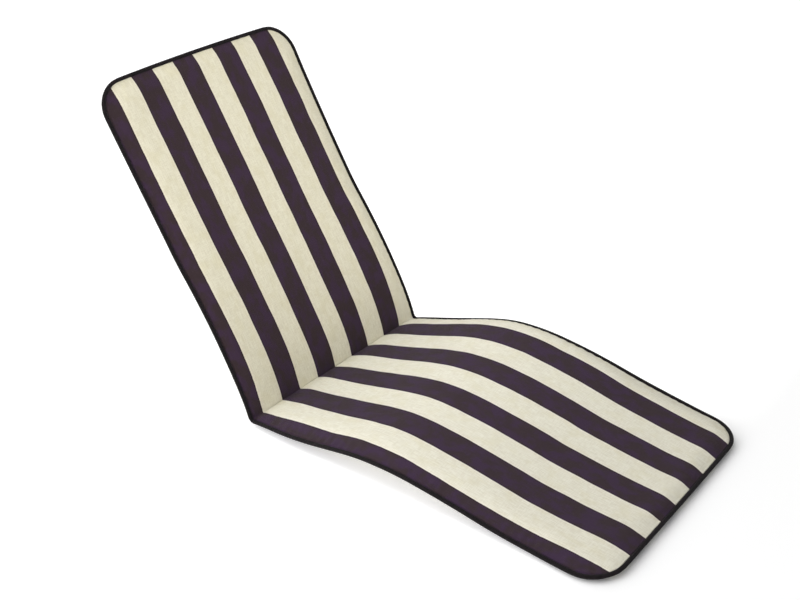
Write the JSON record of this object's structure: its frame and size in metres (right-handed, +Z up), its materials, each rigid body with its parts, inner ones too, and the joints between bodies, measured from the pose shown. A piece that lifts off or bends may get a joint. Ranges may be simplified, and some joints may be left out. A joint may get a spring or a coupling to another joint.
{
  "type": "folding chair cushion",
  "caption": "Long padded cushion for a folding recliner, bent at the seat and over the knee, with striped cloth and corded piping round its edge.",
  "frame": {"origin": "on the ground, under the middle of the cushion's overall box", "axes": "+X from the back towards the foot end, +Y across the width, +Z up"},
  "size_m": [1.2516, 0.5762, 0.7357],
  "materials": {
    "striped_cover": "woven canvas",
    "piping_cord": "woven canvas"
  },
  "bodies": {
    "root": {"cushion_pad": "striped_cover", "piping": "piping_cord"}
  },
  "joints": []
}
